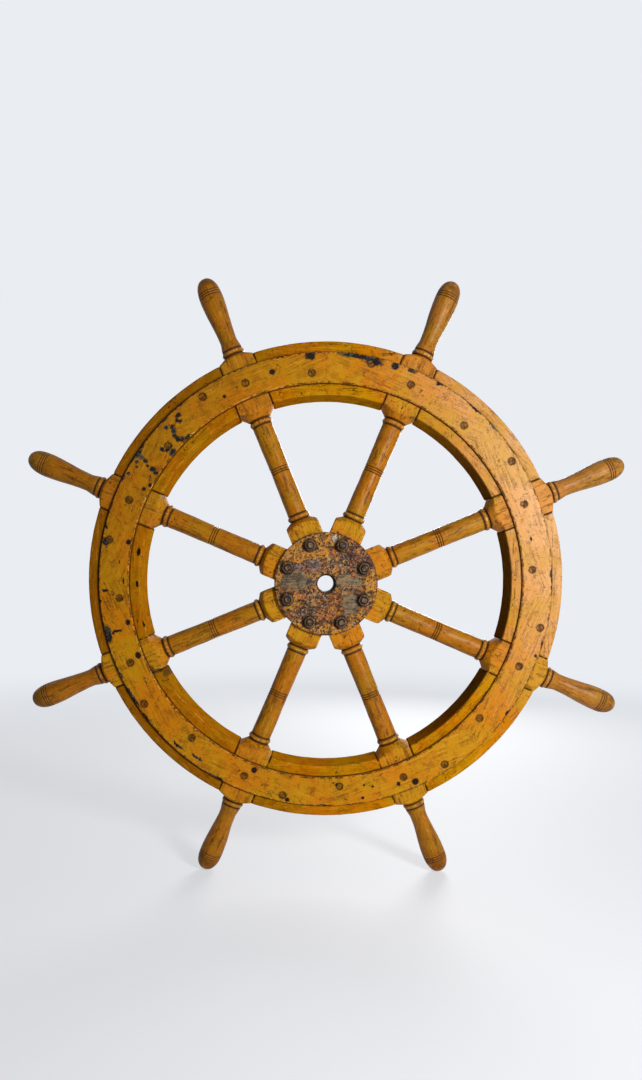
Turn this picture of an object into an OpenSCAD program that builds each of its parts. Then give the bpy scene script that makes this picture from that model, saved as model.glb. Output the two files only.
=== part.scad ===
// Ship's wheel with eight turned spokes, a built-up wooden rim and an iron hub.
// The wheel stands in the XZ plane, and its shaft runs along Y. The front faces -Y.
// The origin is the centre of the shaft bore, half way through the rim.

/* [Wheel] */
// Width across the tips of two opposite handles
wheel_w = 1220; // [1190:1:1300]

/* [Rim] */
// Radius of the rim's inner wall
rim_inner_r = 348.5; // [336:0.5:356]
// Width of the rim, from its inner wall to its outer wall
rim_w = 97.5; // [91:0.5:105]
// Thickness of the middle layer of the rim, and of the spokes' square blocks
core_t = 64; // [54:0.5:72]
// Thickness of the facing on each side of the rim
facing_t = 6.5; // [5:0.5:14]
// How far the facings' inner edge lies outside the rim's inner wall
inner_ledge = 21; // [17:0.5:26]
// Width of the facings
facing_w = 55.5; // [50:0.5:61]
// Width of the eased edge along the facings and felloes
eased_edge = 1.5; // [0.5:0.1:2.5]

/* [Spoke] */
// Width of the square block inside the rim
rim_block_w = 66; // [58:0.5:70]
// Width of the square block at the hub
hub_block_w = 63; // [56:0.5:66]
// How far the hub blocks reach from the centre
hub_block_r = 130; // [120:0.5:140]
// How far the rim blocks reach in past the rim's inner wall
block_in = 15.5; // [11:0.5:18]
// How far the rim blocks reach out past the rim's outer wall
block_out = 12; // [8:0.5:14]
// Radius of the flat that the lathe leaves on the hub block and on the outer end of the rim block
shoulder_flat_r = 21; // [20:0.5:24]
// How far a hub block's shoulder falls back for each millimetre out from that flat
hub_shoulder_slope = 0.62; // [0.4:0.01:0.7]
// The same for the outer shoulder of a rim block
rim_shoulder_slope = 0.55; // [0.3:0.01:0.7]
// Radius of the flat on the inner end of a rim block
rim_flat_r = 27; // [23:0.5:30]
// Radius of the rounding from that flat to the rim block's corners
rim_shoulder_round = 12; // [9:0.5:20]
// Diameter of the spoke's shaft next to its end beads
shaft_d = 39; // [32:0.5:42]
// How much slimmer the shaft is halfway, where its lines are cut
shaft_slim = 1.5; // [0:0.1:4]
// Diameter of the beads at both ends of the shaft
bead_d = 44.5; // [41:0.5:48]
// Width of those beads
bead_w = 9; // [6:0.5:12]
// Width of one cut line
line_w = 2.2; // [1.5:0.1:3]
// Depth of one cut line
line_depth = 1.4; // [0.5:0.1:2]
// Distance from one cut line to the next
line_step = 4.4; // [3.4:0.1:6]

/* [Handle] */
// Diameter of the ring at the handle's foot
foot_d = 43; // [40:0.5:46]
// Width of that ring
foot_w = 9; // [6:0.5:11]
// Diameter of the handle's waist
waist_d = 32.8; // [28:0.2:36]
// Distance from the waist to the tip
waist_to_tip = 120; // [110:0.5:126]
// Diameter of the handle at its thickest
grip_d = 44.6; // [40:0.2:50]
// Length of the rounded end, from the thickest place to the tip
grip_end = 38; // [32:0.5:44]
// Distance from the tip to the middle one of the grip's three cut lines
grip_lines_to_tip = 31; // [26:0.5:34]

/* [Hub] */
// Diameter of the hub's iron plates
plate_d = 194; // [186:0.5:204]
// Thickness of the plates
plate_t = 8; // [5:0.5:12]
// Diameter of the shaft bore
bore_d = 31.75; // [22:0.25:36]
// Wall of the bush round the bore
bush_wall = 12; // [8:0.5:16]
// How far the bush stands out of the rear plate
bush_end = 6; // [2:0.5:10]
// How much wider the hole in the front plate is than the bore
front_hole_extra = 5; // [3:0.25:8]
// Diameter of the circle that the hub bolts lie on
bolt_circle_d = 155; // [148:0.5:160]
// Diameter of the hub bolts
bolt_d = 12; // [9:0.5:13]
// Width of the nuts and bolt heads across their flats
nut_af = 19; // [17:0.5:22]
// Height of a nut
nut_h = 10; // [8:0.5:13]
// Height of a bolt head
head_h = 8; // [6:0.5:10]
// How far a bolt reaches out of its nut
bolt_end = 4; // [2:0.5:8]

/* [Facing screws] */
// Diameter of a screw's head
screw_head_d = 11; // [9:0.5:12.5]
// Diameter of a screw's shank
screw_d = 5.5; // [4:0.5:6]
// Length of a screw under the facing
screw_bite = 24; // [16:0.5:26]
// How deep the heads are sunk below the face
screw_sink = 1.2; // [0.5:0.1:2]
// Distance from the facing's inner edge to the inner screw
inner_screw_edge = 18; // [10:0.5:29]
// Angle from the spoke to the inner screw
inner_screw_angle = 18; // [14:0.25:19]
// Distance from the facing's outer edge to the outer screw
outer_screw_edge = 13; // [10:0.5:29]
// Angle from the spoke to the outer screw
outer_screw_angle = 11.5; // [9:0.25:19]

/* [Hidden] */
spoke_count = 8;
pitch_angle = 360 / spoke_count;
first_angle = pitch_angle / 2;
tip_r = wheel_w / 2;
half_core = core_t / 2;
face_y = half_core + facing_t;
rim_outer_r = rim_inner_r + rim_w;
facing_inner_r = rim_inner_r + inner_ledge;
facing_outer_r = facing_inner_r + facing_w;
// Play between a bolt or screw and its hole, all round
bolt_play = 0.5;
screw_play = 0.1;
// Depth of the countersink in the front plate's shaft hole
hole_bevel = 1.5;
plate_bevel = 1;
// Bevel on the end of a bolt
bolt_tip = 1;
bush_d = bore_d + 2 * bush_wall;
hub_half = half_core + plate_t;
bush_bevel = 1.5;
// How much longer a cutting tool is than what it cuts
past = 1;
round_fn = 96;
bolt_fn = 48;
screw_fn = 32;
bead_steps = 8;
curve_steps = 14;

// Radii along the spoke
shaft_r = shaft_d / 2;
neck_depth = 1;
neck_r = shaft_r - neck_depth;
bead_foot_r = shaft_r + 0.5;
// How far the handle's foot ring stands out from its own sides
foot_rise = 2;
// How much wider the handle's flare is than its waist
flare_extra = 3;
flare_r = waist_d / 2 + flare_extra;

// Places along the spoke, counted from the wheel's centre
neck_w = 2;
// How far the turned stretches run into the square blocks
lap = 5;
// How much of the hub block the lathe may round
block_root = 22;
rim_block_in_r = rim_inner_r - block_in;
rim_block_out_r = rim_outer_r + block_out;
hub_bead_at = hub_block_r + neck_w;
shaft_from = hub_bead_at + bead_w + neck_w;
rim_bead_at = rim_block_in_r - neck_w - bead_w;
shaft_to = rim_bead_at - neck_w;
shaft_mid = (shaft_from + shaft_to) / 2;
foot_at = rim_block_out_r + neck_w;
flare_at = foot_at + foot_w + neck_w;
waist_at = tip_r - waist_to_tip;
grip_at = tip_r - grip_end;
grip_lines_at = tip_r - grip_lines_to_tip;
// How blunt the tip is: 2 is a plain ellipse
tip_power = 2.4;

// Width of the slot in a facing screw
slot_w = screw_head_d / 7;
// How much the slots turn from one spoke to the next, and from one screw to the next
slot_turn_per_spoke = 37;
slot_turn_per_screw = 61;
nut_corner_r = nut_af / cos(30) / 2;
// How far the nut's rounded corners fall below its face
nut_drop = nut_corner_r - nut_af / 2;

WOOD = [0.74, 0.51, 0.13];
IRON = [0.42, 0.27, 0.17];
DARK_IRON = [0.24, 0.18, 0.15];

// Angle of spoke number i, counted anticlockwise as seen from the front
function spoke_angle(i) = first_angle + (i - 1) * pitch_angle;

// The outlines below are lists of [radius, place along the spoke].

// A half-round bead
function bead(from, width, low_r, high_r) = [
    for (k = [0 : bead_steps])
        [low_r + (high_r - low_r) * sin(180 * k / bead_steps), from + width * k / bead_steps]
];

// A smooth swell from one radius to another
function swell(from, to, r_from, r_to, steps) = [
    for (k = [0 : steps])
        [r_from + (r_to - r_from) * (1 - cos(180 * k / steps)) / 2, from + (to - from) * k / steps]
];

// Radius of the shaft at one place: slimmest halfway
function shaft_r_at(place) =
    shaft_r - shaft_slim / 4 * (1 + cos(360 * (place - shaft_mid) / (shaft_to - shaft_from)));

// Radius of the rounded end of the handle at one place
function cap_r_at(place) =
    grip_d / 2 * pow(1 - pow(max(0, place - grip_at) / grip_end, tip_power), 1 / tip_power);

// The turned stretch between the hub block and the rim block
function shaft_outline() = concat(
    [[0, hub_block_r - lap], [neck_r, hub_block_r - lap], [neck_r, hub_bead_at]],
    bead(hub_bead_at, bead_w, bead_foot_r, bead_d / 2),
    [[neck_r, shaft_from - neck_w / 2]],
    [for (k = [0 : curve_steps])
        let (place = shaft_from + (shaft_to - shaft_from) * k / curve_steps)
        [shaft_r_at(place), place]],
    [[neck_r, rim_bead_at - neck_w / 2]],
    bead(rim_bead_at, bead_w, bead_foot_r, bead_d / 2),
    [[neck_r, rim_block_in_r - neck_w], [neck_r, rim_block_in_r + lap], [0, rim_block_in_r + lap]]
);

// The handle, from inside the rim block to the tip, where it closes on the axis
function handle_outline() = concat(
    [[0, rim_block_out_r - lap], [neck_r, rim_block_out_r - lap], [neck_r, foot_at]],
    bead(foot_at, foot_w, foot_d / 2 - foot_rise, foot_d / 2),
    [[flare_r - neck_depth, flare_at - neck_w / 2]],
    swell(flare_at, waist_at, flare_r, waist_d / 2, bead_steps),
    [for (k = [1 : curve_steps]) swell(waist_at, grip_at, waist_d / 2, grip_d / 2, curve_steps)[k]],
    [for (k = [1 : curve_steps])
        let (a = 90 * k / curve_steps)
        [grip_d / 2 * pow(cos(a), 2 / tip_power), grip_at + grip_end * pow(sin(a), 2 / tip_power)]]
);

// A V-shaped line cut round the spoke at one place, where its surface has radius r
module cut_line(at, r) {
    half_w = line_w / 2 * (line_depth + past) / line_depth;
    rotate_extrude($fn = round_fn)
        polygon([[r - line_depth, at], [r + past, at - half_w], [r + past, at + half_w]]);
}

// The rim block's inner shoulder, which is rounded, from the axis out to the block's corner
function rounded_shoulder(place, corner) = concat(
    [[0, place]],
    [for (k = [0 : bead_steps])
        let (r = rim_flat_r + (corner - rim_flat_r) * k / bead_steps)
        [r, place + pow(r - rim_flat_r, 2) / (2 * rim_shoulder_round)]]
);

// A plain cone for a shoulder, falling back to the block's corner
function cone_shoulder(place, corner, slope) = [
    [0, place],
    [shoulder_flat_r, place],
    [corner, place - slope * (corner - shoulder_flat_r)]
];

function reversed(points) = [for (k = [len(points) - 1 : -1 : 0]) points[k]];

// A radius just outside the corners of square stock of one width
function beyond_corner(width) = norm([width / 2, half_core]) + past;

// Square stock from one place to another, cut down by the lathe to an outline
module turned_block(width, from, to, outline) {
    intersection() {
        translate([-width / 2, -half_core, from]) cube([width, core_t, to - from]);
        rotate_extrude($fn = round_fn) polygon(outline);
    }
}

// The outer end of the hub block, where the lathe has cut its shoulder
module hub_block() {
    corner = beyond_corner(hub_block_w);
    from = hub_block_r - block_root;
    turned_block(hub_block_w, from, hub_block_r,
        concat([[0, from], [corner, from]],
            reversed(cone_shoulder(hub_block_r, corner, hub_shoulder_slope))));
}

// The block inside the rim, with a shoulder at each end
module rim_block() {
    corner = beyond_corner(rim_block_w);
    turned_block(rim_block_w, rim_block_in_r, rim_block_out_r,
        concat(rounded_shoulder(rim_block_in_r, corner),
            reversed(cone_shoulder(rim_block_out_r, corner, rim_shoulder_slope))));
}

// One spoke with its handle, along +Z
module upright_spoke() {
    difference() {
        union() {
            hub_foot();
            hub_block();
            rotate_extrude($fn = round_fn) polygon(shaft_outline());
            rim_block();
            rotate_extrude($fn = round_fn) polygon(handle_outline());
        }
        for (k = [-1 : 1]) {
            cut_line(shaft_mid + k * line_step, shaft_r_at(shaft_mid + k * line_step));
            cut_line(grip_lines_at + k * line_step, cap_r_at(grip_lines_at + k * line_step));
        }
        along_y(bush_d / 2, core_t + 2 * past);
        translate([0, 0, bolt_circle_d / 2]) along_y(bolt_d / 2 + bolt_play, core_t + 2 * past);
        both_faces() screw_place(0) screw_hole();
    }
}

// The part of the hub block that is cut to a wedge, so that the eight feet meet round the bush
module hub_foot() {
    half = hub_block_w / 2;
    wedge_r = half / tan(pitch_angle / 2);
    foot_end = hub_block_r - block_root + lap;
    rotate([90, 0, 0])
        linear_extrude(height = core_t, center = true)
            polygon([[0, 0], [half, wedge_r], [half, foot_end], [-half, foot_end], [-half, wedge_r]]);
}

// A cylinder along Y, centred on the origin
module along_y(r, length) {
    rotate([90, 0, 0]) cylinder(r = r, h = length, center = true, $fn = round_fn);
}

// Turns what is drawn along +Z to lie along one spoke's angle
module at_angle(angle) {
    rotate([0, 90 - angle, 0]) children();
}

module spoke(i) {
    color(WOOD) at_angle(spoke_angle(i)) upright_spoke();
}

// A flat ring between two radii and two places along Y, with an eased edge at each corner that has one
module eased_ring(inner, outer, y_from, y_to, ease_front, ease_back) {
    front = ease_front ? eased_edge : 0;
    back = ease_back ? eased_edge : 0;
    rotate([90, 0, 0])
        rotate_extrude($fn = round_fn)
            polygon([
                [inner + back, -y_to], [outer - back, -y_to],
                [outer, -y_to + back], [outer, -y_from - front],
                [outer - front, -y_from], [inner + front, -y_from],
                [inner, -y_from - front], [inner, -y_to + back]
            ]);
}

// A wedge of space between two angles, as wide as the whole rim
module sector(from_angle, to_angle) {
    reach = (rim_outer_r + past) / cos(pitch_angle / 2);
    rotate([90, 0, 0])
        linear_extrude(height = 2 * face_y + 2 * past, center = true)
            polygon([
                [0, 0],
                [reach * cos(from_angle), reach * sin(from_angle)],
                [reach * cos(to_angle), reach * sin(to_angle)]
            ]);
}

// The block's width taken out of the ring at one spoke
module block_space(angle) {
    at_angle(angle)
        translate([-rim_block_w / 2, -face_y, 0])
            cube([rim_block_w, 2 * face_y, rim_outer_r + past]);
}

module middle_felloe(i) {
    from_angle = spoke_angle(i);
    to_angle = spoke_angle(i + 1);
    color(WOOD) difference() {
        intersection() {
            eased_ring(rim_inner_r, rim_outer_r, -half_core, half_core, true, true);
            sector(from_angle, to_angle);
        }
        block_space(from_angle);
        block_space(to_angle);
        both_faces() at_angle(from_angle) screw_place(1) screw_hole();
        both_faces() at_angle(to_angle) screw_place(2) screw_hole();
    }
}

// The three screws of one facing: over the spoke, outside and inside the middle of the board
screw_angles = [0, outer_screw_angle, -inner_screw_angle];
screw_radii = [
    facing_inner_r + facing_w / 2,
    facing_outer_r - outer_screw_edge,
    facing_inner_r + inner_screw_edge
];

// Moves what is drawn at the origin to one of those screws, for a spoke along +Z
module screw_place(k) {
    at_angle(90 + screw_angles[k]) translate([0, 0, screw_radii[k]]) children();
}

// One countersunk screw going in along +Y, with its head just under the front face
module screw_body(play) {
    head_r = screw_head_d / 2 + play;
    shank_r = screw_d / 2 + play;
    rotate([90, 0, 0])
        rotate_extrude($fn = screw_fn)
            polygon([
                [0, face_y - screw_sink], [head_r, face_y - screw_sink],
                [shank_r, face_y - screw_sink - head_r + shank_r],
                [shank_r, half_core - screw_bite], [0, half_core - screw_bite]
            ]);
}

// The hole for a screw: the screw's own shape, and the sunk mouth over its head
module screw_hole() {
    screw_body(screw_play);
    mouth_r = screw_head_d / 2 + screw_play;
    translate([0, -face_y - past / 2 + screw_sink / 2, 0])
        along_y(mouth_r, screw_sink + past);
}

module both_faces() {
    children();
    mirror([0, 1, 0]) children();
}

module front_facing(i) {
    color(WOOD) difference() {
        intersection() {
            eased_ring(facing_inner_r, facing_outer_r, -face_y, -half_core, true, false);
            sector(spoke_angle(i) - pitch_angle / 2, spoke_angle(i) + pitch_angle / 2);
        }
        at_angle(spoke_angle(i))
            for (k = [0 : 2]) screw_place(k) screw_hole();
    }
}

module rear_facing(i) {
    mirror([0, 1, 0]) front_facing(i);
}

// A slotted screw, with its slot turned to one angle
module screw(slot_angle) {
    difference() {
        screw_body(0);
        translate([0, -face_y + screw_sink, 0])
            rotate([0, slot_angle, 0])
                cube([screw_head_d + past, 2 * slot_w, slot_w], center = true);
    }
}

module front_facing_screws() {
    color(WOOD)
        for (i = [1 : spoke_count])
            at_angle(spoke_angle(i))
                for (k = [0 : 2]) screw_place(k) screw(slot_turn_per_spoke * i + slot_turn_per_screw * k);
}

module rear_facing_screws() {
    mirror([0, 1, 0]) front_facing_screws();
}

// The round plate in front of the spokes, with its eight bolt holes
module hub_plate() {
    difference() {
        rotate([90, 0, 0])
            rotate_extrude($fn = round_fn)
                polygon([
                    [0, half_core], [plate_d / 2, half_core],
                    [plate_d / 2, hub_half - plate_bevel], [plate_d / 2 - plate_bevel, hub_half],
                    [0, hub_half]
                ]);
        bolt_places() along_y(bolt_d / 2 + bolt_play, 2 * hub_half + 2 * past);
    }
}

// Repeats a child at each hub bolt
module bolt_places() {
    for (i = [1 : spoke_count])
        at_angle(spoke_angle(i)) translate([0, 0, bolt_circle_d / 2]) children();
}

module hub_front_plate() {
    hole_r = (bore_d + front_hole_extra) / 2;
    color(IRON) difference() {
        hub_plate();
        along_y(hole_r, 2 * hub_half + 2 * past);
        rotate([90, 0, 0])
            translate([0, 0, hub_half - hole_bevel])
                cylinder(r1 = hole_r, r2 = hole_r + hole_bevel + past, h = hole_bevel + past, $fn = round_fn);
    }
}

module hub_rear_plate() {
    color(IRON) difference() {
        mirror([0, 1, 0]) hub_plate();
        along_y(bush_d / 2, 2 * hub_half + 2 * past);
    }
}

// The tube that takes the shaft: it rests on the front plate and passes through the rear one
module hub_bush() {
    rear_y = hub_half + bush_end;
    color(IRON) rotate([90, 0, 0])
        rotate_extrude($fn = round_fn)
            polygon([
                [bore_d / 2, half_core], [bush_d / 2, half_core],
                [bush_d / 2, -rear_y + bush_bevel], [bush_d / 2 - bush_bevel, -rear_y],
                [bore_d / 2, -rear_y]
            ]);
}

// A hexagonal prism along Y from one place to another
module hexagon_prism(y_from, y_to) {
    translate([0, y_to, 0])
        rotate([90, 0, 0])
            cylinder(r = nut_corner_r, h = y_to - y_from, $fn = 6);
}

module hub_bolts() {
    color(DARK_IRON) bolt_places() union() {
        rotate([90, 0, 0])
            rotate_extrude($fn = bolt_fn)
                polygon([
                    [0, -hub_half - head_h / 2], [bolt_d / 2, -hub_half - head_h / 2],
                    [bolt_d / 2, hub_half + nut_h + bolt_end - bolt_tip],
                    [bolt_d / 2 - bolt_tip, hub_half + nut_h + bolt_end],
                    [0, hub_half + nut_h + bolt_end]
                ]);
        hexagon_prism(hub_half, hub_half + head_h);
    }
}

module hub_nuts() {
    color(DARK_IRON) bolt_places() difference() {
        intersection() {
            hexagon_prism(-hub_half - nut_h, -hub_half);
            nut_rounding();
        }
        along_y(bolt_d / 2, 2 * (hub_half + nut_h + past));
    }
}

// The cone that rounds the corners of a nut's face
module nut_rounding() {
    rotate([90, 0, 0])
        rotate_extrude($fn = bolt_fn)
            polygon([
                [0, hub_half - past], [nut_corner_r + past, hub_half - past],
                [nut_corner_r + past, hub_half + nut_h - nut_drop - past],
                [nut_af / 2 - nut_drop, hub_half + nut_h], [0, hub_half + nut_h]
            ]);
}

spoke(1);  // spoke_1
spoke(2);  // spoke_2
spoke(3);  // spoke_3
spoke(4);  // spoke_4
spoke(5);  // spoke_5
spoke(6);  // spoke_6
spoke(7);  // spoke_7
spoke(8);  // spoke_8
middle_felloe(1);  // middle_felloe_1
middle_felloe(2);  // middle_felloe_2
middle_felloe(3);  // middle_felloe_3
middle_felloe(4);  // middle_felloe_4
middle_felloe(5);  // middle_felloe_5
middle_felloe(6);  // middle_felloe_6
middle_felloe(7);  // middle_felloe_7
middle_felloe(8);  // middle_felloe_8
front_facing(1);  // front_facing_1
front_facing(2);  // front_facing_2
front_facing(3);  // front_facing_3
front_facing(4);  // front_facing_4
front_facing(5);  // front_facing_5
front_facing(6);  // front_facing_6
front_facing(7);  // front_facing_7
front_facing(8);  // front_facing_8
rear_facing(1);  // rear_facing_1
rear_facing(2);  // rear_facing_2
rear_facing(3);  // rear_facing_3
rear_facing(4);  // rear_facing_4
rear_facing(5);  // rear_facing_5
rear_facing(6);  // rear_facing_6
rear_facing(7);  // rear_facing_7
rear_facing(8);  // rear_facing_8
hub_front_plate();
hub_rear_plate();
hub_bush();
hub_bolts();
hub_nuts();
front_facing_screws();
rear_facing_screws();
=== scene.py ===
# %% [markdown]
# # An old ship's wheel in mustard paint
#
# The wheel arrives as a fixed frame: every spoke, rim piece, plate, bolt and screw is already at its
# real size and in its place. This lesson gives them their looks. The facings, the screws and the bush
# keep their own mesh and only get a paint. The felloes, the hub plates, the nuts and the bolts become
# worn copies of themselves, and the eight spokes are turned again with softer edges.

# %% Load the frame
import math

import bpy
from mathutils import Matrix, Vector, noise


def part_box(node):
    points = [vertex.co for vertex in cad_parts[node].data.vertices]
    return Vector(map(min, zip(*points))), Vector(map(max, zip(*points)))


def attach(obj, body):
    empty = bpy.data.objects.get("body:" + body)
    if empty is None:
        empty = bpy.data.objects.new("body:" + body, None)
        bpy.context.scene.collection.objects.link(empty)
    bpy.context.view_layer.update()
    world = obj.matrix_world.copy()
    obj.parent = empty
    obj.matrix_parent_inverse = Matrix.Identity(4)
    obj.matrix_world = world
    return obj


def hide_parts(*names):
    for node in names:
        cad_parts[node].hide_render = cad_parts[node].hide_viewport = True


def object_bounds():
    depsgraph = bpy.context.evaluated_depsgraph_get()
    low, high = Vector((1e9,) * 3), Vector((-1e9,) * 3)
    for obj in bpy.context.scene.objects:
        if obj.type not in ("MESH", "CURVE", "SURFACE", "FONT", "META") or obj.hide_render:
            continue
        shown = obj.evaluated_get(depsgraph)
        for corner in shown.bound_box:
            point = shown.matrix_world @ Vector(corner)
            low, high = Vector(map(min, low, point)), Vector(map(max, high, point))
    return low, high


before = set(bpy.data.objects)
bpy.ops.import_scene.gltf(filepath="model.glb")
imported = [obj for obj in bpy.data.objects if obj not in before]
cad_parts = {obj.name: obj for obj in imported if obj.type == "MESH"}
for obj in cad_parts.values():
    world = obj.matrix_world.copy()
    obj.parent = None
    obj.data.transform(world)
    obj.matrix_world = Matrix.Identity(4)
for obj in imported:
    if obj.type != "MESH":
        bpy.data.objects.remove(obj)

cad_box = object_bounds()
MM = 0.001
print("the wheel spans", [round(high - low, 3) for low, high in zip(*cad_box)], "m")

# %% [markdown]
# ## Measuring what is already there
#
# Paint gathers in seams, wears off edges and turns dark in grooves, so the finishes have to know where
# the edges are. Those places are read from the frame, in millimetres, instead of being typed again.
# The wheel stands in the XZ plane and its shaft runs along Y, so a distance from the shaft is a
# radius in X and Z.

# %% Read radii and heights from the frame
def radii(node):
    """Least and greatest distance of a node's points from the shaft's axis, in millimetres."""
    points = [math.hypot(v.co.x, v.co.z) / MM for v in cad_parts[node].data.vertices]
    return min(points), max(points)


def front_of(node):
    """How far a node reaches in front of the rim's middle, in millimetres."""
    return -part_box(node)[0].y / MM


SPOKES = 8
NUMBERS = range(1, SPOKES + 1)
PITCH = 360 / SPOKES
FIRST_ANGLE = PITCH / 2
RIM_INNER, RIM_OUTER = radii("middle_felloe_1")
FACING_INNER, FACING_OUTER = radii("front_facing_1")
BUSH_R, TIP_R = radii("spoke_1")
BORE_R, PLATE_R = radii("hub_bush")[0], radii("hub_rear_plate")[1]
HALF_CORE = front_of("middle_felloe_1")
FACE_Y = front_of("front_facing_1")
PLATE_Y = front_of("hub_front_plate")
print("rim", round(RIM_INNER), "to", round(RIM_OUTER), "mm, tips", round(TIP_R), "mm")
print("facing", round(FACING_INNER), "to", round(FACING_OUTER), "mm")
print("half core", round(HALF_CORE, 1), "face", round(FACE_Y, 1), "plate", round(PLATE_Y, 1), "mm")

# %% [markdown]
# ## Where the camera stands
#
# The photograph is taken from straight before the hub, about 1.5 m away, with a phone's wide lens. The
# place was found by fitting the eight handle tips and the width at which the rim's inner wall shows, so
# it is given here as it came out. A small shift stands for the crop of the picture.

# %% The camera
CAMERA_PLACE = Vector((-28, -1462.8, 35)) * MM
CAMERA_TURN, CAMERA_TILT, CAMERA_ROLL = -0.31, -4.295, -0.577
CAMERA_LENS, CAMERA_SENSOR = 25.333, 36
CAMERA_SHIFT = (0.0058, 0.0761)


def new_object(name, data):
    """Makes an object of some data and puts it in the scene."""
    made = bpy.data.objects.new(name, data)
    bpy.context.scene.collection.objects.link(made)
    return made


def rotation(degrees, axis):
    return Matrix.Rotation(math.radians(degrees), 4, axis)


camera = new_object("camera", bpy.data.cameras.new("camera"))
camera.data.lens = CAMERA_LENS
camera.data.sensor_width = CAMERA_SENSOR
camera.data.shift_x, camera.data.shift_y = CAMERA_SHIFT
looking = rotation(CAMERA_TURN, "Z") @ rotation(CAMERA_TILT, "X") @ rotation(CAMERA_ROLL, "Y")
camera.matrix_world = Matrix.Translation(CAMERA_PLACE) @ looking @ rotation(90, "X")
bpy.context.scene.camera = camera
bpy.context.scene.view_settings.view_transform = "Standard"
print("the camera stands", round(-CAMERA_PLACE.y, 2), "m before the wheel")

# %% [markdown]
# ## Shader maths in plain Python
#
# A finish is a formula: how dark the grime is, where the paint has chipped, how the grain runs. Node
# trees hide such formulas, so a small class wraps a socket and lets Python's own operators add the
# Math nodes. Everything else, from noise to colour mixing, comes from one method that makes any node.

# %% A socket that can be calculated with
class Signal:
    """An output socket of a finish, to be used in Python arithmetic."""

    def __init__(self, finish, socket):
        self.finish = finish
        self.socket = socket

    def math(self, operation, *others):
        """A Math node on this signal and the others."""
        inputs = dict(enumerate((self, *others)))
        return self.finish.node("ShaderNodeMath", {"operation": operation}, inputs)

    def reflected(self, operation, other):
        """The same with a plain number before the signal, as in 1 - mask."""
        return self.finish.node("ShaderNodeMath", {"operation": operation}, {0: other, 1: self})

    def __add__(self, other):
        return self.math("ADD", other)

    def __sub__(self, other):
        return self.math("SUBTRACT", other)

    def __mul__(self, other):
        return self.math("MULTIPLY", other)

    def __truediv__(self, other):
        return self.math("DIVIDE", other)

    def __radd__(self, other):
        return self.reflected("ADD", other)

    def __rsub__(self, other):
        return self.reflected("SUBTRACT", other)

    def __rmul__(self, other):
        return self.reflected("MULTIPLY", other)

    def __rtruediv__(self, other):
        return self.reflected("DIVIDE", other)

    def __abs__(self):
        return self.math("ABSOLUTE")

    def least(self, other):
        return self.math("MINIMUM", other)

    def most(self, other):
        return self.math("MAXIMUM", other)

    def ramp(self, start, end):
        """0 before start and 1 after end, with a smooth rise. With start above end it falls."""
        return self.finish.node(
            "ShaderNodeMapRange",
            {"interpolation_type": "SMOOTHSTEP"},
            {"Value": self, "From Min": start, "From Max": end},
        )

    def near(self, place, reach):
        """1 at one place, falling to 0 at a distance of reach."""
        return abs(self - place).ramp(reach, 0)


# %% [markdown]
# ## The finish itself
#
# A finish owns one material. It starts from the piece's own coordinates in millimetres, turned so that
# u points out from the hub along the piece, v across it and w to the front. Grain, wear and seams are
# all written in those three numbers, so one recipe serves every spoke and every piece of the rim.

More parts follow.
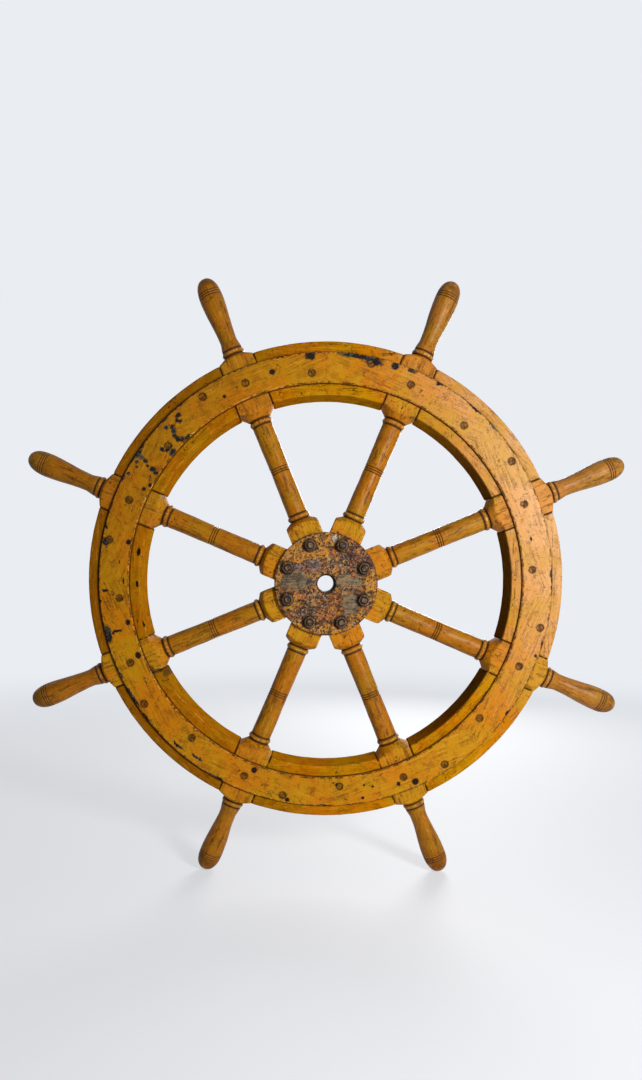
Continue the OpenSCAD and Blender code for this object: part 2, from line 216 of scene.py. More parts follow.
# %% A material with its own coordinates
class Finish:
    """A material with the nodes of one piece's finish."""

    def __init__(self, name, angle=0.0, seed=0):
        self.material = bpy.data.materials.new(name)
        self.material.use_nodes = True
        self.tree = self.material.node_tree
        self.shader = self.tree.nodes["Principled BSDF"]
        self.seed = seed
        metres = self.node("ShaderNodeTexCoord", {}, {}, "Object")
        self.place = self.vector("SCALE", metres, scale=1 / MM)
        self.x, y, self.z = self.parts(self.place)
        cosine, sine = math.cos(math.radians(angle)), math.sin(math.radians(angle))
        self.u = self.x * cosine + self.z * sine
        self.v = self.z * cosine - self.x * sine
        self.w = y * -1
        self.radius = self.length(self.u, self.v)

    def node(self, kind, settings, inputs, output=0):
        """Makes one node: its settings first, then values or links for its sockets."""
        made = self.tree.nodes.new(kind)
        for name, value in settings.items():
            setattr(made, name, value)
        for name, value in inputs.items():
            self.feed(made.inputs[name], value)
        return Signal(self, made.outputs[output])

    def feed(self, socket, value):
        """Links a signal to a socket, or writes a plain value into it."""
        if isinstance(value, Signal):
            self.tree.links.new(value.socket, socket)
        elif isinstance(value, tuple) and socket.type == "RGBA":
            socket.default_value = (*value, 1.0)
        else:
            socket.default_value = value

    def vector(self, operation, first, second=None, scale=None):
        inputs = {0: first}
        if second is not None:
            inputs[1] = second
        if scale is not None:
            inputs["Scale"] = scale
        output = "Value" if operation == "LENGTH" else "Vector"
        return self.node("ShaderNodeVectorMath", {"operation": operation}, inputs, output)

    def length(self, x, y):
        """The length of a vector with these two parts."""
        return self.vector("LENGTH", self.joined(x, y))

    def parts(self, vector):
        split = self.node("ShaderNodeSeparateXYZ", {}, {0: vector}).socket.node
        return [Signal(self, output) for output in split.outputs]

    def joined(self, x, y, z=0.0):
        return self.node("ShaderNodeCombineXYZ", {}, {0: x, 1: y, 2: z})

    def flat(self, vector):
        """A vector without its third part."""
        return self.vector("MULTIPLY", vector, (1.0, 1.0, 0.0))

    def shifted(self, place, shift):
        """A place moved far off, where noise has another pattern."""
        return self.vector("ADD", place, (shift * 97.0, shift * 31.0, 0.0))

    def noise_at(self, place, size, detail, roughness, output=0):
        """Noise with patches about size millimetres wide."""
        inputs = {"Vector": place, "Scale": 1 / size, "Detail": detail, "Roughness": roughness}
        return self.node("ShaderNodeTexNoise", {}, inputs, output)

    def cloud(self, size, stretch=(1, 1, 1), detail=3.0, roughness=0.55, shift=0.0, local=False):
        """Noise about 0.5, with patches about size millimetres wide.

        Where local is true the patches are stretched along u, v and w, and differ from piece to piece.
        Otherwise they run on across the joints, as a coat of paint does.
        """
        if local:
            u, v, w = (part / times for part, times in zip((self.u, self.v, self.w), stretch))
            place = self.joined(u + self.seed * 131.0, v, w)
        else:
            place = self.place
        return self.noise_at(self.shifted(place, shift), size, detail, roughness)

    def wandering(self, place, size, reach_mm, shift=0.0):
        """A place pushed about by noise, so that what is drawn there has ragged edges."""
        push = self.noise_at(self.shifted(self.place, shift), size, 3.0, 0.6, "Color")
        push = self.vector("SUBTRACT", push, (0.5, 0.5, 0.5))
        return self.vector("ADD", place, self.vector("SCALE", push, scale=reach_mm * 2))

    def cells(self, size, place, shift=0.0):
        """A random number from 0 to 1 for each of many small cells, about size millimetres wide."""
        inputs = {"Vector": self.shifted(place, shift), "Scale": 1 / size}
        colours = self.node("ShaderNodeTexVoronoi", {}, inputs, "Color")
        return self.parts(colours)[0]

    def mix(self, mask, below, above):
        """One colour over another, where the mask is 1."""
        settings = {"data_type": "RGBA"}
        return self.node("ShaderNodeMix", settings, {0: mask, 6: below, 7: above}, 2)

    def finished(self, colour, roughness, height, depth_mm, shine):
        """Connects the finish to the shader. The height is a signal about 0 to 1, worth depth_mm."""
        self.feed(self.shader.inputs["Base Color"], colour)
        self.feed(self.shader.inputs["Roughness"], roughness)
        self.feed(self.shader.inputs["Specular IOR Level"], shine)
        inputs = {"Height": height, "Distance": depth_mm * MM, "Strength": 1.0}
        bump = self.node("ShaderNodeBump", {}, inputs)
        self.feed(self.shader.inputs["Normal"], bump)
        return self.material


def srgb(red, green, blue):
    """A colour read off a screen, from 0 to 255, as the linear numbers of a shader."""
    def linear(part):
        part /= 255
        return part / 12.92 if part <= 0.04045 else ((part + 0.055) / 1.055) ** 2.4
    return (linear(red), linear(green), linear(blue))


# %% [markdown]
# ## Old oil paint on wood
#
# The wheel has been painted many times. The mustard is an even coat that drifts between orange and
# yellow over a hand's width. On it lie the ridges of the grain, pale where they are rubbed, and a few
# strong dark marks: scratches along the grain, specks, hair cracks. The right side is paler, partly
# from real bleaching and partly from a painted sheen, and the upper left is browned by painted shade.
# Under a chip lies an older blue-grey coat or near-black wood. All wooden pieces share this recipe, and
# each one adds its own grooves and chips to it.

# %% The colours of the paint
ORANGE_OCHRE = srgb(190, 116, 4)
YELLOW_OCHRE = srgb(184, 128, 6)
DARK_OCHRE = srgb(126, 74, 6)
# The next colour is the brown of painted shade, and of some pieces' own darker tone.
BROWN_SHADE_AND_TONE = srgb(124, 72, 10)
# The next colour is the pale of a painted sheen, with some real bleaching.
SHEEN_AND_BLEACH_PALE = srgb(226, 184, 134)
PALE_OCHRE = srgb(214, 150, 46)
RUSSET = srgb(118, 56, 14)
UMBER = srgb(64, 36, 10)
TAN = srgb(220, 166, 92)
# The next colour is for grime, and for painted shade in grooves, gaps and corners.
DARK_GRIME_AND_SHADE = srgb(30, 16, 7)
# The next colour is for near-black wood, rust pits and grease, and for painted shade and shadow on the
# hub's iron.
BLACK_AND_SHADOW = srgb(24, 19, 17)
BLUE_GREY = srgb(66, 73, 71)


# %% The painted wood recipe
def painted_wood(
    finish, grain, grime_and_shade=0, chips=0, wear_and_highlight=0, dark_tone_and_shade=0, sheen_and_bleach_share=0.55, matt=0.42, shine=0.1, stained=0.5
):
    """Mustard paint. grain stretches the fibres, and the masks are signals or numbers from 0 to 1."""
    fibres = finish.cloud(1.5, grain, detail=2.0, local=True)
    streaks = finish.cloud(3.4, grain, roughness=0.65, local=True, shift=4.0)
    broad = finish.cloud(75, detail=2.0, shift=3.0)
    soft = finish.cloud(20, detail=5.0, roughness=0.62, shift=5.0)
    fine = finish.cloud(3.6, detail=4.0, roughness=0.75, shift=8.0)
    # Painted sheen with some real bleaching: the paint turns pale towards the right of the wheel.
    sheen_and_bleach = (finish.x * 0.94 + finish.z * 0.34 + (soft - 0.5) * 260).ramp(190, 540)
    # Painted shade: the paint turns brown towards the upper left of the wheel.
    painted_shade_upper_left = (finish.z * 0.65 - finish.x * 0.75 + (soft - 0.5) * 200).ramp(160, 460)

    colour = finish.mix(broad.ramp(0.4, 0.6), ORANGE_OCHRE, YELLOW_OCHRE)
    colour = finish.mix(sheen_and_bleach * (broad.ramp(0.56, 0.44) * 0.5 + 0.75) * sheen_and_bleach_share, colour, SHEEN_AND_BLEACH_PALE)
    # The painted shade of the upper left, with each piece's own darker tone and, on the felloes, painted
    # shade.
    colour = finish.mix((painted_shade_upper_left * 0.4).most(dark_tone_and_shade), colour, BROWN_SHADE_AND_TONE)
    tone = soft * 0.4 + streaks * 0.32 + fine * 0.28
    colour = finish.mix(tone.ramp(0.47, 0.60) * 0.62, colour, DARK_OCHRE)
    stains = (finish.cloud(13, detail=5.0, roughness=0.7, shift=11.0) * 0.7 + fine * 0.3).ramp(0.545, 0.60)
    dulled = 1 - sheen_and_bleach * 0.6
    colour = finish.mix(stains * dulled * stained, colour, RUSSET)
    ridges = (streaks * 0.45 + fibres * 0.55).ramp(0.44, 0.34)
    colour = finish.mix(ridges * 0.45, colour, PALE_OCHRE)
    scratches = (streaks * 0.7 + fine * 0.3).ramp(0.585, 0.64)
    scratches = scratches * finish.cloud(26, shift=7.0).ramp(0.46, 0.56)
    colour = finish.mix(scratches * dulled * 0.7, colour, UMBER)
    worn = (fine * 0.6 + fibres * 0.4 - wear_and_highlight * 0.15).ramp(0.41, 0.32)
    colour = finish.mix(worn * (wear_and_highlight * 0.4 + 0.4), colour, TAN)
    cracks = abs(finish.cloud(38, roughness=0.62, shift=12.0) - 0.5).ramp(0.008, 0.003)
    cracks = cracks * finish.cloud(30, shift=13.0).ramp(0.54, 0.60)
    specks = (fine * 0.8 + soft * 0.2).ramp(0.335, 0.30)
    # Specks and cracks, with the piece's grime and painted shade.
    dirt_and_shade = (specks.most(cracks * 0.8) * dulled).most(grime_and_shade)
    colour = finish.mix(dirt_and_shade, colour, DARK_GRIME_AND_SHADE)
    under = finish.mix((soft * 0.5 + fine * 0.5).ramp(0.50, 0.58), BLACK_AND_SHADOW, BLUE_GREY)
    colour = finish.mix(chips, colour, under)

    roughness = fine * 0.25 + dirt_and_shade * 0.2 + chips * 0.25 + (matt - 0.12)
    height = fibres * 0.25 + streaks * 0.3 + soft * 0.25 + fine * 0.2 - dirt_and_shade * 0.4 - chips * 0.7
    return finish.finished(colour, roughness, height, 0.8, shine)


# %% [markdown]
# ## Keeping or replacing a piece
#
# A piece of the frame whose shape is right keeps its mesh, and only its material is swapped.

# %% Put a material on a piece of the frame
def dress(node, material):
    """Gives a node of the frame its material."""
    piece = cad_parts[node]
    piece.data.materials.clear()
    piece.data.materials.append(material)


# %% Replace a piece by a worn copy
SMOOTHING = 0.5
PIT_LEVELS, PIT_MIDDLE = 3, 0.55


def worn_copy(node, slot, material, grid, softened, pit_depth, pit_width):
    """A copy on a new grid, smoothed softened times and pitted. The lengths are in millimetres."""
    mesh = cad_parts[node].data.copy()
    mesh.name = "worn_" + node
    mesh.materials.clear()
    mesh.materials.append(material)
    piece = new_object("worn_" + node, mesh)
    remesh = piece.modifiers.new("even faces", "REMESH")
    remesh.mode = "VOXEL"
    remesh.voxel_size = grid * MM
    remesh.use_smooth_shade = True
    smooth = piece.modifiers.new("worn edges", "SMOOTH")
    smooth.factor = SMOOTHING
    smooth.iterations = softened
    pits = bpy.data.textures.new(node + "_pits", "CLOUDS")
    pits.noise_scale = pit_width * MM
    pits.noise_depth = PIT_LEVELS
    displace = piece.modifiers.new("pits", "DISPLACE")
    displace.texture = pits
    displace.texture_coords = "LOCAL"
    displace.strength = pit_depth * MM
    displace.mid_level = PIT_MIDDLE
    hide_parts(node)
    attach(piece, "root")


def spoke_angle(number):
    return FIRST_ANGLE + (number - 1) * PITCH


# %% [markdown]
# ## Turning the spokes again
#
# A spoke and its handle are one stick of wood: square stock at the hub and at the rim, turned round in
# between. The lathe cuts every place down to its own radius, so at each place along the stick the
# section is the square stock with a circle laid over it, and whichever is smaller wins. That gives the
# whole spoke as one grid: rings along the stick, and in each ring the distance to the surface. A power
# mean in place of the plain minimum rounds the stock's corners as years of hands and paint do.

# %% The turner's measures, in millimetres
HUB_BLOCK_W, HUB_BLOCK_END = 63, 130
RIM_BLOCK_W = 67.6
RIM_BLOCK_FROM, RIM_BLOCK_TO = RIM_INNER - 15.5, RIM_OUTER + 12
SHOULDER_FLAT, HUB_SLOPE, RIM_SLOPE = 21, 0.62, 0.55
RIM_FLAT, RIM_SHOULDER = 21, 16.5
STOCK_CORNER = 47
SHAFT_R, SHAFT_SLIM = 19.5, 0.75
NECK_R, NECK_W = 18.5, 2
BEAD_R, BEAD_SIDE_R, BEAD_W = 22.25, 20, 9
FOOT_R, FOOT_SIDE_R = 21.5, 19.5
WAIST_R, WAIST_AT = 16.4, TIP_R - 120
FLARE_R, FLARE_SIDE_R = 19.4, 18.4
GRIP_R, GRIP_AT = 22.3, TIP_R - 38
GRIP_LINES_AT = TIP_R - 31
TIP_POWER = 2.4
LINE_W, LINE_DEPTH, LINE_STEP = 2.2, 1.4, 4.4
SHAFT_FROM = HUB_BLOCK_END + BEAD_W + 2 * NECK_W
SHAFT_TO = RIM_BLOCK_FROM - BEAD_W - 2 * NECK_W
SHAFT_LINES_AT = (SHAFT_FROM + SHAFT_TO) / 2
FOOT_AT = RIM_BLOCK_TO + NECK_W
FLARE_AT = FOOT_AT + BEAD_W + NECK_W
print("the shaft runs from", SHAFT_FROM, "to", round(SHAFT_TO, 1), "mm, the handle from", round(FOOT_AT, 1))


# %% The outline of a turned spoke, as lists of place and radius
def bead(start, side_r, top_r, steps=8):
    """A half-round bead."""
    points = []
    for k in range(steps + 1):
        raised = (top_r - side_r) * math.sin(math.pi * k / steps)
        points.append((start + BEAD_W * k / steps, side_r + raised))
    return points


def inner_shoulder(steps=10):
    """The rounded inner end of a rim block, from its flat to its corners."""
    points = []
    for k in range(steps + 1):
        share = k / steps
        sunk = RIM_SHOULDER * math.sin(math.pi / 2 * share)
        points.append((RIM_BLOCK_FROM + sunk, RIM_FLAT + (STOCK_CORNER - RIM_FLAT) * share))
    return points


def shaft_points(steps=24):
    """The shaft, slimmest halfway."""
    length = SHAFT_TO - SHAFT_FROM
    points = []
    for k in range(steps + 1):
        share = k / steps
        slim = SHAFT_SLIM / 2 * (1 - math.cos(2 * math.pi * share))
        points.append((SHAFT_FROM + length * share, SHAFT_R - slim))
    return points


def swell(start, end, r_start, r_end, steps):
    """A smooth change from one radius to another."""
    points = []
    for k in range(steps + 1):
        share = (1 - math.cos(math.pi * k / steps)) / 2
        points.append((start + (end - start) * k / steps, r_start + (r_end - r_start) * share))
    return points


def tip_points(steps=14):
    """The blunt end of the handle."""
    points = []
    for k in range(1, steps + 1):
        turn = math.pi / 2 * k / steps
        along = math.sin(turn) ** (2 / TIP_POWER)
        across = max(0.0, math.cos(turn)) ** (2 / TIP_POWER)
        points.append((GRIP_AT + (TIP_R - GRIP_AT) * along, GRIP_R * across))
    return points


HUB_CONE_FROM = HUB_BLOCK_END - HUB_SLOPE * (STOCK_CORNER - SHOULDER_FLAT)
RIM_CONE_FROM = RIM_BLOCK_TO - RIM_SLOPE * (STOCK_CORNER - SHOULDER_FLAT)
outline = [(BUSH_R, STOCK_CORNER), (HUB_CONE_FROM, STOCK_CORNER), (HUB_BLOCK_END, SHOULDER_FLAT)]
outline += [(HUB_BLOCK_END, NECK_R), *bead(HUB_BLOCK_END + NECK_W, BEAD_SIDE_R, BEAD_R)]
outline += [(SHAFT_FROM - NECK_W / 2, NECK_R), *shaft_points(), (SHAFT_TO + NECK_W / 2, NECK_R)]
outline += [*bead(SHAFT_TO + NECK_W, BEAD_SIDE_R, BEAD_R), (RIM_BLOCK_FROM - NECK_W, NECK_R)]
outline += [(RIM_BLOCK_FROM, NECK_R), *inner_shoulder(), (RIM_CONE_FROM, STOCK_CORNER)]
outline += [(RIM_BLOCK_TO, SHOULDER_FLAT), (RIM_BLOCK_TO, NECK_R), (FOOT_AT, NECK_R)]
outline += bead(FOOT_AT, FOOT_SIDE_R, FOOT_R)
outline += [(FLARE_AT - NECK_W / 2, FLARE_SIDE_R), *swell(FLARE_AT, WAIST_AT, FLARE_R, WAIST_R, 8)]
outline += [*swell(WAIST_AT, GRIP_AT, WAIST_R, GRIP_R, 20)[1:], *tip_points()]
print("the spoke's outline has", len(outline), "points")


# %% Fill the outline in and cut the lines
def cut_lines():
    return [middle + k * LINE_STEP for middle in (SHAFT_LINES_AT, GRIP_LINES_AT) for k in (-1, 0, 1)]


def radius_at(place):
    """The outline's radius at one place along the spoke, without its cut lines."""
    for (start, r_start), (end, r_end) in zip(outline, outline[1:]):
        if start <= place <= end and end > start:
            return r_start + (r_end - r_start) * (place - start) / (end - start)
    return 0.0


def filled_outline(step=2.2):
    """The outline with extra points on its long stretches and four at each cut line."""
    points = []
    for (start, r_start), (end, r_end) in zip(outline, outline[1:]):
        pieces = max(1, round(math.hypot(end - start, r_end - r_start) / step))
        for k in range(pieces):
            points.append((start + (end - start) * k / pieces, r_start + (r_end - r_start) * k / pieces))
    points.append(outline[-1])
    for line in cut_lines():
        points = [point for point in points if abs(point[0] - line) > LINE_W * 0.7]
        for offset, depth in ((-0.5, 0), (-0.15, 0.9), (0.15, 0.9), (0.5, 0)):
            place = line + offset * LINE_W
            points.append((place, radius_at(place) - depth * LINE_DEPTH))
    order = sorted(range(len(points)), key=lambda k: points[k][0])
    return [points[k] for k in order]


rings = filled_outline()
print("a spoke has", len(rings), "rings")


# %% One turned spoke as a grid of rings
RING_POINTS = 72
CORNER_CROWDING = 0.6
CORNER_SHARPNESS, SHARPNESS_CHANGE = 34, 14
LARGE_DENT, LARGE_DENT_W = 0.4, 26
SMALL_DENT, SMALL_DENT_W = 0.15, 7
WORN_AWAY = 0.2


def stock_width(place):
    """Width of the square stock, which is cut to a wedge near the shaft."""
    wide = HUB_BLOCK_W if place < (HUB_BLOCK_END + RIM_BLOCK_FROM) / 2 else RIM_BLOCK_W
    return min(wide, 2 * place * math.tan(math.radians(PITCH / 2)))


def ring_turns(width):
    """The directions of a ring's points, closer together at the stock's four corners."""
    corner = math.atan2(HALF_CORE, width / 2)
    corners = [corner, math.pi - corner, math.pi + corner, 2 * math.pi - corner, 2 * math.pi + corner]
    turns = []
    for start, end in zip(corners, corners[1:]):
        for k in range(RING_POINTS // 4):
            share = k / (RING_POINTS // 4)
            eased = share - CORNER_CROWDING * math.sin(2 * math.pi * share) / (2 * math.pi)
            turns.append(start + (end - start) * eased)
    return turns


def section(turn, lathe_r, width, sharpness):
    """Distance to the surface: the square stock or the lathe's circle, whichever is nearer."""
    across = abs(math.cos(turn)) / (width / 2)
    upward = abs(math.sin(turn)) / HALF_CORE
    total = across ** sharpness + upward ** sharpness + (1 / lathe_r) ** sharpness
    return total ** (-1 / sharpness)


def turned_spoke(number):
    """Builds one spoke with its handle, slightly different from its neighbours."""
    angle = math.radians(spoke_angle(number))
    outward = Vector((math.cos(angle), 0, math.sin(angle)))
    sideways = Vector((-math.sin(angle), 0, math.cos(angle)))
    forward = Vector((0, -1, 0))
    points, faces = [], []
    for place, lathe_r in rings[:-1]:
        width = stock_width(place)
        for turn in ring_turns(width):
            wear = noise.noise(Vector((number * 9.1, place / 18, turn * 2)))
            distance = section(turn, lathe_r, width, CORNER_SHARPNESS + SHARPNESS_CHANGE * wear)
            direction = sideways * math.cos(turn) + forward * math.sin(turn)
            spot = outward * place + direction * distance
            dent = noise.noise(spot / LARGE_DENT_W + Vector((number, 0, 0))) * LARGE_DENT
            dent = dent + noise.noise(spot / SMALL_DENT_W) * SMALL_DENT
            points.append((spot + direction * (dent - WORN_AWAY)) * MM)
    for ring in range(len(rings) - 2):
        for k in range(RING_POINTS):
            a, b = ring * RING_POINTS + k, ring * RING_POINTS + (k + 1) % RING_POINTS
            faces.append((a, b, b + RING_POINTS, a + RING_POINTS))
    faces.append(tuple(reversed(range(RING_POINTS))))
    tip = len(points)
    points.append(outward * rings[-1][0] * MM)
    last = (len(rings) - 2) * RING_POINTS
    for k in range(RING_POINTS):
        faces.append((last + k, last + (k + 1) % RING_POINTS, tip))
    mesh = bpy.data.meshes.new(f"turned_spoke_{number}")
    mesh.from_pydata(points, [], faces)
    mesh.shade_smooth()
    return new_object(f"turned_spoke_{number}", mesh)


# %% [markdown]
# ## Marks in a given place
#
# Chips, nail holes and bare patches sit in places of their own, so they can't come from noise alone.
# Each is an oval given by its angle round the wheel, its distance from the hub, and half its length and
# half its width in millimetres. Noise only makes its outline ragged. A piece's finish holds just the
# marks within its reach, which keeps it small.

# %% Marks in a given place
RIM_MIDDLE = (FACING_INNER + FACING_OUTER) / 2
REACH_PAST_END = 4


def around(angle, centre):
    """An angle counted from the centre, between -180 and 180 degrees."""
    return (angle - centre + 180) % 360 - 180


def near_angle(centre, places):
    """The marks within one piece's reach, with their angle turned into millimetres along its arc."""
    chosen = []
    for angle, r, *size in places:
        turn = around(angle, centre)
        if abs(turn) < PITCH / 2 + REACH_PAST_END:
            chosen.append((math.radians(turn) * RIM_MIDDLE, r, *size))
    return chosen


def nearest_spot(finish, here, places):
    """Distance to the nearest of some ovals, each (x, y, half width, half height): 1 on its outline."""
    nearest = None
    for centre_x, centre_y, half_x, half_y in places:
        offset = finish.vector("SUBTRACT", here, (centre_x, centre_y, 0.0))
        distance = finish.vector("LENGTH", finish.vector("DIVIDE", offset, (half_x, half_y, 1.0)))
        nearest = distance if nearest is None else nearest.least(distance)
    return nearest


def along_rim(finish):
    """Where a point lies on the rim: millimetres along the arc, and its radius."""
    arc = finish.v.math("ARCTAN2", finish.u) * RIM_MIDDLE
    return finish.joined(arc, finish.radius)


def marks(finish, places, size, reach, soft=0.25, size_share=1.0):
    """Dark marks with ragged outlines: size and reach say how coarse and how strong the ragging is."""
    here = finish.flat(finish.wandering(along_rim(finish), size, reach, shift=16.0))
    return nearest_spot(finish, here, places).ramp(size_share * (1 + soft), size_share * (1 - soft))


print("the facing's middle lies", round(RIM_MIDDLE, 1), "mm from the shaft")

# %% [markdown]
# ## The spokes' paint
#
# Where the tool cut deepest, in the necks beside each bead and in the two groups of three lines, the
# paint is darkened by grime and painted shade. The grip's end is browner than the rest. The hub blocks
# are the most stained, and outside the rim's joints the blocks are rubbed to a paler tan along their
# corners. The turned parts have been polished by hands, so they shine a little more, and they take a
# small share of the painted sheen. The turner's measures say where all these places are, so each one
# is a mask in u and nothing has to be painted by hand.

# %% Grooves, joints and bare patches
def grooves(finish, places, reach):
    """Dark rings round the spoke at these places."""
    dark = finish.u.near(places[0], reach)
    for place in places[1:]:
        dark = dark.most(finish.u.near(place, reach))
    return dark


NECK_PLACES = [
    HUB_BLOCK_END + NECK_W / 2, SHAFT_FROM - NECK_W / 2, SHAFT_TO + NECK_W / 2,
    RIM_BLOCK_FROM - NECK_W / 2, RIM_BLOCK_TO + NECK_W / 2, FLARE_AT - NECK_W / 2,
]
BEAD_PLACES = [start + BEAD_W / 2 for start in (HUB_BLOCK_END + NECK_W, SHAFT_TO + NECK_W, FOOT_AT)]
BARE_PATCHES = [(206.9, 367, 10, 5), (207.8, 360, 5, 6), (208.3, 353, 4, 5), (209.6, 349, 9, 4)]


def bare_patches(finish, centre):
    """Where the rim's inner ledge has lost its top coats, down to an old blue-grey one."""
    if here := near_angle(centre, BARE_PATCHES):
        return marks(finish, here, 8, 3, soft=0.4) * 0.7
    return 0.0


def on_face(height, level, soft=3.0):
    """1 on a flat face at this level, 0 below it."""
    return height.ramp(level - soft, level - 1)


def opened(finish):
    """1 where a joint beside a spoke has opened, 0 where the paint still bridges it."""
    return finish.cloud(16, shift=21.0).ramp(0.34, 0.44)


def facing_gap_and_shadow(finish):
    """The facing's ragged dark gap and painted shadow on what lies under it, wider towards the left."""
    ragged = (finish.cloud(7, detail=4.0, roughness=0.7, shift=22.0) - 0.5) * 4
    radius = finish.radius + ragged
    inner = radius.near(FACING_INNER, 3.0)
    # The outer line widens towards the left as a painted shadow of the facing's edge.
    outer = radius.near(FACING_OUTER, (finish.x * -1).ramp(100, 330) * 4.5 + 3.6)
    return inner.most(outer) * 0.9


print(len(NECK_PLACES), "necks,", len(BEAD_PLACES), "beads and", len(BARE_PATCHES), "bare patches")


# %% Paint the spokes
def spoke_paint(number):
    finish = Finish(f"spoke_paint_{number}", spoke_angle(number), number)
    # Grime and painted shade in the necks and the cut lines.
    necks = grooves(finish, NECK_PLACES, 3.4)
    lines = grooves(finish, cut_lines(), 1.5)
    across, upward = abs(finish.v), abs(finish.w)
    in_rim = finish.u.ramp(RIM_INNER - 3, RIM_INNER) * finish.u.ramp(RIM_OUTER + 2, RIM_OUTER - 1)
    seam = across.ramp(RIM_BLOCK_W / 2 - 3, RIM_BLOCK_W / 2 - 1) * in_rim
    seam = seam * opened(finish)
    # The facing's dark gap and painted shadow, where the block passes under the facing.
    ledge = facing_gap_and_shadow(finish) * on_face(upward, HALF_CORE)
    grime_and_shade = (necks * 0.95).most(lines * 0.9).most(seam * 0.9).most(ledge)
    grip_end = finish.u.ramp(TIP_R - 62, TIP_R - 12) * finish.cloud(18, shift=2.0).ramp(0.42, 0.62)
    smudges = finish.cloud(10, (5, 1, 1), detail=5.0, roughness=0.68, local=True, shift=23.0)
    grime_and_shade = grime_and_shade.most(grip_end * 0.5).most(smudges.ramp(0.53, 0.64) * 0.55)
    corner = across.ramp(26, 31) * upward.ramp(26, 31) * (1 - in_rim)
    raised = grooves(finish, BEAD_PLACES, 4)
    wear_and_highlight = (corner * 0.9).most(raised * 0.8)
    turned = finish.u.ramp(HUB_BLOCK_END - 1, HUB_BLOCK_END + 1)
    turned = turned * finish.u.ramp(RIM_BLOCK_FROM + 1, RIM_BLOCK_FROM - 1)
    turned = turned.most(finish.u.ramp(RIM_BLOCK_TO - 1, RIM_BLOCK_TO + 1))
    dark_tone_and_shade = turned * 0.4 + finish.u.ramp(RIM_BLOCK_TO, FOOT_AT) * 0.12
    matt = 0.62 - turned * 0.28
    stained = finish.u.ramp(HUB_BLOCK_END, HUB_BLOCK_END - 4) * 0.4 + 0.5
    bare = bare_patches(finish, spoke_angle(number))
    # The spokes take only a small share of the painted sheen.
    return painted_wood(finish, (22, 1, 1), grime_and_shade, bare, wear_and_highlight, dark_tone_and_shade, 0.2, matt, 0.12, stained)


for number in NUMBERS:
    spoke = turned_spoke(number)
    spoke.data.materials.append(spoke_paint(number))
    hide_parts(f"spoke_{number}")
    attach(spoke, "root")
print("turned", SPOKES, "spokes of", len(spoke.data.polygons), "faces")

# %% [markdown]
# ## The rim
#
# The rim is built like a barrel's head: thick curved felloes between the spokes, and thinner facings
# screwed over them on both sides. The facing's joints lie under the paint, but the felloes' joints
# beside each spoke have opened to dark lines. Boards are sawn straight, so their grain runs straight
# across the arc: it is the v direction of each piece.

# %% The felloes
def seam_beside(finish, side):
    """1 at the joint with the spoke at one end of a felloe."""
    half_pitch = math.radians(PITCH / 2)
    across = finish.v * math.cos(half_pitch) - finish.u * (side * math.sin(half_pitch))
    return abs(across).near(RIM_BLOCK_W / 2, 3.0)


LEDGE_KNOTS = [(170.9, 356, 9, 3.5), (180.6, 355, 7, 2.5), (193, 352, 6, 1.6), (110, 361, 12, 1.5)]


def felloe_paint(number):
    centre = spoke_angle(number) + PITCH / 2
    finish = Finish(f"felloe_paint_{number}", centre, number + SPOKES)
    radius = finish.radius
    seams = seam_beside(finish, 1).most(seam_beside(finish, -1)) * opened(finish)
    faces = on_face(abs(finish.w), HALF_CORE)
    # The facing's dark gap and painted shadow on the felloe's ledges.
    lines = facing_gap_and_shadow(finish) * faces
    # Painted shade on the rim's inner wall at the right, which faces away from the lamp.
    shaded = finish.x.ramp(60, 300) * radius.ramp(RIM_INNER + 3, RIM_INNER + 1)
    grime_and_shade = (seams * 0.9).most(lines).most(shaded * 0.7)
    if knots := near_angle(centre, LEDGE_KNOTS):
        grime_and_shade = grime_and_shade.most(marks(finish, knots, 6, 2) * on_face(finish.w, HALF_CORE))
    # Pale along the ledges' edges: wear, and partly a painted highlight.
    edge = radius.near(RIM_INNER + 2, 4).most(radius.near(RIM_OUTER - 2, 4))
    edge = edge * on_face(abs(finish.w), HALF_CORE, 2.5)
    # Painted shade: the felloes turn darker towards the left, most on the outer ledge beside the facing.
    leftward = finish.x.ramp(100, -300)
    dark_tone_and_shade = leftward * (radius.ramp(FACING_INNER, FACING_OUTER) * 0.4 + 0.3) + 0.1
    # Painted sheen and bleaching: full on the ledges, weaker on the walls.
    sheen_and_bleach_share = faces * 0.55 + 0.15
    bare = bare_patches(finish, centre)
    return painted_wood(finish, (1, 18, 1), grime_and_shade, bare, edge * 0.35, dark_tone_and_shade, sheen_and_bleach_share, matt=0.5, shine=0.0)


FELLOE_WEAR = {"grid": 2.2, "softened": 2, "pit_depth": 0.7, "pit_width": 24}
for number in NUMBERS:
    worn_copy(f"middle_felloe_{number}", "felloe_paint", felloe_paint(number), **FELLOE_WEAR)
print("worn", SPOKES, "felloes")

# %% [markdown]
# ## Chips in the facings
#
# Paint fails first along an edge that is knocked, so most chips lie there. At the upper left a group of
# smaller ones goes right across the face. The dark dots are old nail holes and knots. Noise could
# scatter them, but then none would sit where the real ones do, so each is listed in its place. The back
# doesn't show in the photograph, so it has the chips of the front's edge, turned round.

